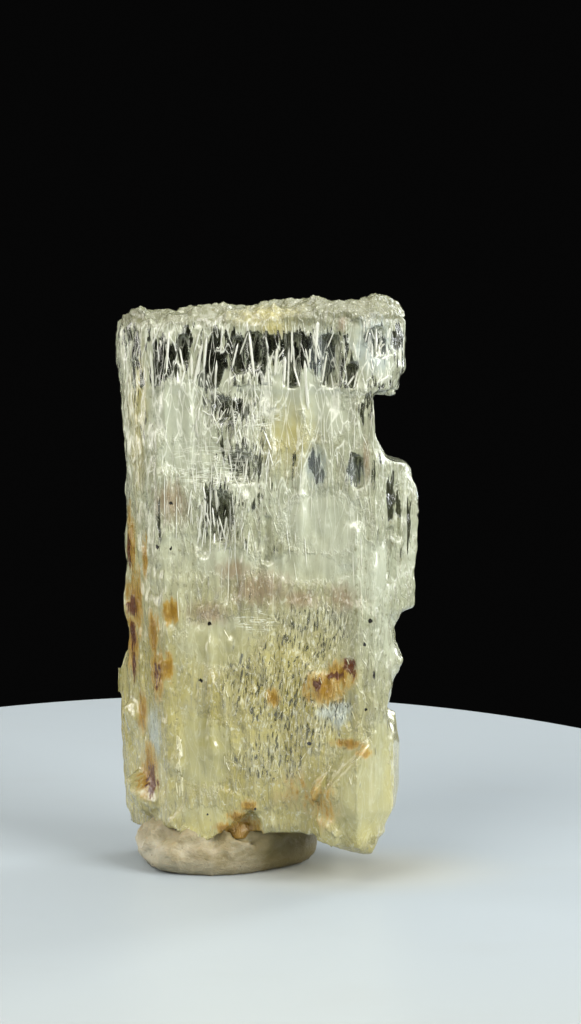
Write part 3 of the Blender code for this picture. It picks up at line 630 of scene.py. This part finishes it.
class CrystalSettings(bpy.types.PropertyGroup):
    """What can be set of the crystal"""

    detail: FloatProperty(
        name="Detail", description="Size of the smallest step of the etched surface",
        default=0.00021, min=0.0001, unit="LENGTH",
    )
    striae: FloatProperty(
        name="Striae", description="Depth of the lengthwise striae in millimetres", default=0.26,
    )
    refraction: FloatProperty(
        name="Refraction", description="Index of refraction of the beryl", default=1.58,
    )
    depth_colour: FloatVectorProperty(
        name="Depth colour", description="Colour that a long way through the crystal takes on",
        default=(0.80, 0.86, 0.62), size=3, subtype="COLOR", min=0, max=1,
    )
    depth_density: FloatProperty(
        name="Depth density", description="How quickly the depth colour builds up, per metre",
        default=18.0,
    )


class PuttySettings(bpy.types.PropertyGroup):
    """What can be set of the putty"""

    colour: FloatVectorProperty(
        name="Colour", description="Colour of the clean putty",
        default=(0.36, 0.315, 0.205), size=3, subtype="COLOR", min=0, max=1,
    )
    dents: FloatProperty(
        name="Dents", description="Depth of the finger marks in millimetres", default=0.5,
    )


class StageSettings(bpy.types.PropertyGroup):
    """What can be set of the stage"""

    floor_radii: FloatVectorProperty(
        name="Floor radii", description="Half width and half depth of the oval pale floor",
        default=(0.062, 0.090), size=2, unit="LENGTH",
    )
    floor_colour: FloatVectorProperty(
        name="Floor colour", description="Colour of the floor",
        default=(0.376, 0.42, 0.439), size=3, subtype="COLOR", min=0, max=1,
    )
    front_colour: FloatVectorProperty(
        name="Front colour", description="Warmer colour of the floor towards the front",
        default=(0.37, 0.395, 0.375), size=3, subtype="COLOR", min=0, max=1,
    )
    power: FloatProperty(
        name="Power", description="Brightness of all the soft lights together", default=0.87,
    )


class SPECIMEN_OT_crystal(bpy.types.Operator):
    """Model the etched surface of the crystal and give it its finish"""

    bl_idname = "specimen.crystal"
    bl_label = "Goshenite crystal"

    def execute(self, context):
        kit = context.scene.crystal_settings
        piece = copy_of_node("goshenite_crystal", "etched_crystal")
        apply(piece, "REMESH", mode="VOXEL", voxel_size=kit.detail, use_smooth_shade=True)
        places, normals = points_and_normals(piece)
        upright = smooth(0.75, 0.45, np.abs(normals[:, 2]))
        high = smooth(42.6, 43.8, places[:, 2])
        zone = smooth(9.5, 6.0, np.hypot(places[:, 0] - 1.5, (places[:, 2] - 15.5) * 0.75))
        # the right lobe and the crest have weaker striae
        lobe = near(places, [RIGHT_LOBE]).clip(0, LOBE_RIM) / LOBE_RIM
        sides = weigh(piece, "sides", upright * (1 - 0.6 * high) * (1 - 0.6 * lobe))
        crest = weigh(piece, "crest", high)
        needles = weigh(piece, "needles", zone * upright)
        roughen(piece, "striae", (0.55, 0.55, 7.0), kit.striae, 0.5, sides, noise_depth=3)
        roughen(piece, "steps", (2.6, 2.6, 3.2), 0.35, 0.5, sides, noise_depth=2,
                noise_type="HARD_NOISE")
        roughen(piece, "crumbs", (0.9, 0.9, 0.9), 0.55, 0.5, crest, noise_depth=3,
                noise_type="HARD_NOISE")
        roughen(piece, "needle_bed", (0.5, 0.5, 1.5), 0.3, 0.5, needles, noise_depth=3)
        places, _ = points_and_normals(piece)
        mark(piece, "clearness", places, CLEAR, MILKY, NEEDLES)
        mark(piece, "tints_and_reflections", places, YELLOW, PINK, BLUE)
        mark(piece, "stains", places, AMBER, IRON, WISPS)
        piece.data.materials.clear()
        piece.data.materials.append(beryl())
        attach(piece, "root")
        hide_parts("goshenite_crystal")
        return {"FINISHED"}


def front_at(piece, x, z):
    """Depth of the front at x and z: its surface, or just behind the face over an open pit."""
    found, spot, _, _ = piece.ray_cast(
        Vector((x * MM, RAY_START * MM, z * MM)), Vector((0, 1, 0)),
    )
    if found and abs(x) > OPEN_SIDES:
        return spot.y / MM
    plane = front_plane(x)
    return min(spot.y / MM if found else plane, plane + PIT_DEPTH)


# How far the ends of the needles stand out of the front
NEEDLE_LIFT = (-0.02, 0.05)
# Fields of needles on the front: left, right, low, high, how many, lengths, widths, and the tilt
# in degrees that few of them pass
NEEDLE_FIELDS = (
    (-8.6, 8.6, 38.4, 42.6, 20, (1.8, 4.0), (0.12, 0.30), 10),
    (-8.6, 8.6, 38.3, 42.6, 40, (0.7, 2.2), (0.07, 0.17), 34),
    (7.4, 9.8, 38.8, 43.4, 26, (0.4, 1.2), (0.08, 0.18), 60),
    (-5.6, 0.4, 34.8, 38.4, 40, (0.6, 1.8), (0.05, 0.11), 40),
    (-4.0, 0.8, 31.0, 34.4, 30, (0.7, 2.2), (0.05, 0.12), 28),
    (-5.8, -1.0, 26.2, 31.2, 44, (0.9, 3.4), (0.05, 0.13), 20),
    (-8.6, 8.0, 20.0, 38.0, 50, (1.2, 4.6), (0.04, 0.09), 9),
    (-3.0, 7.0, 8.5, 21.0, 80, (0.3, 0.9), (0.05, 0.09), 34),
    (-6.8, -6.3, 6.2, 10.8, 34, (0.3, 1.1), (0.10, 0.22), 16),
)


class SPECIMEN_OT_needles(bpy.types.Operator):
    """Model one slender needle and copy it over the etched fields of the front"""

    bl_idname = "specimen.needles"
    bl_label = "Needles"

    def execute(self, context):
        rng = random.Random(NEEDLE_SEED)
        host = bpy.data.objects["etched_crystal"]
        bpy.ops.object.select_all(action="DESELECT")
        bpy.ops.mesh.primitive_cylinder_add(
            vertices=5, radius=0.5, depth=NEEDLE_SHAFT, end_fill_type="TRIFAN",
            location=(0, 0, 0),
        )
        needle = context.object
        bpy.ops.object.mode_set(mode="EDIT")
        work = bmesh.from_edit_mesh(needle.data)
        for vert in work.verts:
            # the middle points of the two ends run out into the tips
            if vert.co.xy.length < 0.01:
                vert.co.z *= 1 / NEEDLE_SHAFT
        bmesh.update_edit_mesh(needle.data)
        bpy.ops.object.mode_set(mode="OBJECT")
        copies = [needle]
        for left, right, low, high, count, lengths, widths, tilt in NEEDLE_FIELDS:
            for _ in range(count):
                x, z = rng.uniform(left, right), rng.uniform(low, high)
                length, width = rng.uniform(*lengths), rng.uniform(*widths)
                angle = math.radians(rng.gauss(0, tilt / 2))
                run = Vector((math.sin(angle), 0, math.cos(angle))) * length / 2
                ends = [Vector((x, 0, z)) + way * run for way in (-1, 1)]
                for end in ends:
                    end.y = front_at(host, end.x, end.z) - rng.uniform(*NEEDLE_LIFT)
                made = needle.copy()
                made.data = needle.data.copy()
                context.scene.collection.objects.link(made)
                way = ends[1] - ends[0]
                made.rotation_euler = way.to_track_quat("Z", "Y").to_euler()
                made.location = (ends[0] + ends[1]) / 2 * MM
                made.scale = (width * MM, width * MM, length * MM)
                copies.append(made)
        bpy.data.objects.remove(copies.pop(0))
        only(*copies)
        bpy.ops.object.join()
        piece = context.object
        piece.name = piece.data.name = "white_needles"
        bpy.ops.object.transform_apply(location=True, rotation=True, scale=True)
        piece.data.materials.append(needle_white())
        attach(piece, "root")
        return {"FINISHED"}


class SPECIMEN_OT_putty(bpy.types.Operator):
    """Model the pressed pad of putty and give it its finish"""

    bl_idname = "specimen.putty"
    bl_label = "Putty pad"

    def execute(self, context):
        kit = context.scene.putty_settings
        piece = copy_of_node("putty_pad", "pressed_putty")
        apply(piece, "REMESH", mode="VOXEL", voxel_size=PUTTY_DETAIL * MM, use_smooth_shade=True)
        places, _ = points_and_normals(piece)
        body = weigh(piece, "body", smooth(0.15, 0.9, places[:, 2]))
        pressed = near(places, PRESSED).clip(0, PRESS_RIM) / PRESS_RIM
        folds = weigh(piece, "folds", pressed)
        roughen(piece, "dents", (3.2, 3.2, 2.0), -kit.dents, 0.85, body, noise_depth=2)
        roughen(piece, "wrinkles", (2.0, 2.0, 0.5), -0.25, 0.8, body, noise_depth=2)
        roughen(piece, "folds", (1.7, 1.7, 1.1), -1.5, 0.7, folds, noise_depth=2,
                noise_type="HARD_NOISE")
        piece.data.materials.clear()
        piece.data.materials.append(putty())
        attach(piece, "root")
        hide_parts("putty_pad")
        return {"FINISHED"}


def soft_light(name, place, aim, size, power, colour):
    """A soft light of this width and height at a place, turned to face aim."""
    bpy.ops.object.light_add(type="AREA", location=[at * MM for at in place])
    lamp = bpy.context.object
    lamp.name = name
    lamp.data.shape = "RECTANGLE"
    lamp.data.size, lamp.data.size_y = size[0] * MM, size[1] * MM
    lamp.data.energy = power
    lamp.data.color = colour
    way = Vector(aim) - Vector(place)
    lamp.rotation_euler = way.to_track_quat("-Z", "Y").to_euler()


# The lights: name, place, aim, width and height, share of the power, colour
LIGHTS = (
    ("key", (-210, -270, 300), (0, 0, 20), (270, 270), 2.1, (1, 0.98, 0.94)),
    ("fill", (290, -210, 180), (0, 0, 22), (210, 260), 2.7, (0.97, 0.985, 1)),
    ("top", (20, 60, 350), (0, 0, 20), (300, 300), 0.9, (1, 1, 1)),
    ("rim", (280, 230, 150), (0, 0, 25), (120, 240), 1.0, (0.94, 0.98, 1)),
    ("side", (-300, 60, 100), (0, 0, 25), (130, 240), 0.5, (1, 0.97, 0.92)),
)
# The floor: the middle of its slab, its thickness and the width of its bevelled rim
FLOOR_PLACE, FLOOR_THICKNESS, FLOOR_BEVEL = (-6, -10, -2.05), 4, 0.6
# Where a pool of warm light under the crystal is painted on the floor, its colour there, and the
# colour where it is smudged
LIT_POOL_PLACE = (7, -1.5, 0, 15, 10, 6)
LIT_POOL_COLOUR, SMUDGE = (0.50, 0.47, 0.36), (0.30, 0.29, 0.25)
# Colour of the dark all around
DARK = (0.002, 0.002, 0.002, 1)


def pale_floor(kit):
    """Smooth pale floor, a little warmer at the front, with a painted pool of warm light under the
    crystal.
    """
    f = Finish("pale_floor")
    front = f.step(f.axis("Y"), -10.0, -70.0)
    smudge = f.step(f.clouds((14, 9, 9), 3.0, 0.6), 0.5, 0.75, 0.0, 0.06)
    colour = f.tint(front, tuple(kit.floor_colour), tuple(kit.front_colour))
    # painted light: a warm pool on the floor, as if passed through the yellow crystal
    painted_light_pool = f.spots([LIT_POOL_PLACE])
    colour = f.tint(f.step(painted_light_pool, 0.0, 1.0, 0.0, 0.6), colour, LIT_POOL_COLOUR)
    f.set(Base_Color=f.tint(smudge, colour, SMUDGE), Roughness=0.45)
    return f.material


class SPECIMEN_OT_stage(bpy.types.Operator):
    """Set up the floor, the soft lights and the camera"""

    bl_idname = "specimen.stage"
    bl_label = "Stage"

    def execute(self, context):
        kit = context.scene.stage_settings
        bpy.ops.object.select_all(action="DESELECT")
        bpy.ops.mesh.primitive_cylinder_add(
            vertices=160, radius=1.0, depth=FLOOR_THICKNESS * MM,
            location=[at * MM for at in FLOOR_PLACE],
        )
        floor = context.object
        floor.name = "floor"
        floor.scale = (*kit.floor_radii, 1.0)
        bpy.ops.object.transform_apply(location=True, rotation=True, scale=True)
        apply(floor, "BEVEL", width=FLOOR_BEVEL * MM, segments=3)
        floor.data.materials.append(pale_floor(kit))

        for name, place, aim, size, share, colour in LIGHTS:
            soft_light(name, place, aim, size, share * kit.power, colour)

        world = bpy.data.worlds.new("dark_studio")
        world.use_nodes = True
        world.node_tree.nodes["Background"].inputs["Color"].default_value = DARK
        context.scene.world = world
        context.scene.view_settings.view_transform = "Standard"

        bpy.ops.object.camera_add(
            location=[at * MM for at in CAMERA_PLACE],
            rotation=(math.radians(90 - CAMERA_TILT), 0, 0),
        )
        camera = context.object
        camera.name = "camera"
        camera.data.sensor_width = SENSOR
        camera.data.lens = LENS * SENSOR
        camera.data.clip_start, camera.data.clip_end = 0.005, 5.0
        context.scene.camera = camera
        return {"FINISHED"}


class SPECIMEN_PT_parts(bpy.types.Panel):
    """Lists the pieces of the specimen"""

    bl_idname = "SPECIMEN_PT_parts"
    bl_label = "Goshenite crystal"
    bl_space_type = "VIEW_3D"
    bl_region_type = "UI"
    bl_category = "Specimen"

    def draw(self, context):
        for operator in OPERATORS:
            self.layout.operator(operator.bl_idname)
        for name in SETTINGS:
            group = getattr(context.scene, name)
            for key in group.bl_rna.properties.keys():
                if key not in {"rna_type", "name"}:
                    self.layout.prop(group, key)


OPERATORS = (SPECIMEN_OT_crystal, SPECIMEN_OT_needles, SPECIMEN_OT_putty, SPECIMEN_OT_stage)
SETTINGS = {
    "crystal_settings": CrystalSettings, "putty_settings": PuttySettings,
    "stage_settings": StageSettings,
}


def register():
    for made in (*SETTINGS.values(), *OPERATORS, SPECIMEN_PT_parts):
        bpy.utils.register_class(made)
    for name, group in SETTINGS.items():
        setattr(bpy.types.Scene, name, PointerProperty(type=group))


def unregister():
    for name in SETTINGS:
        delattr(bpy.types.Scene, name)
    for made in reversed((*SETTINGS.values(), *OPERATORS, SPECIMEN_PT_parts)):
        bpy.utils.unregister_class(made)


def main():
    """Builds the specimen on its stage."""
    register()
    steps = bpy.ops.specimen
    for step in (steps.crystal, steps.needles, steps.putty, steps.stage):
        step()


if __name__ == "__main__":
    main()
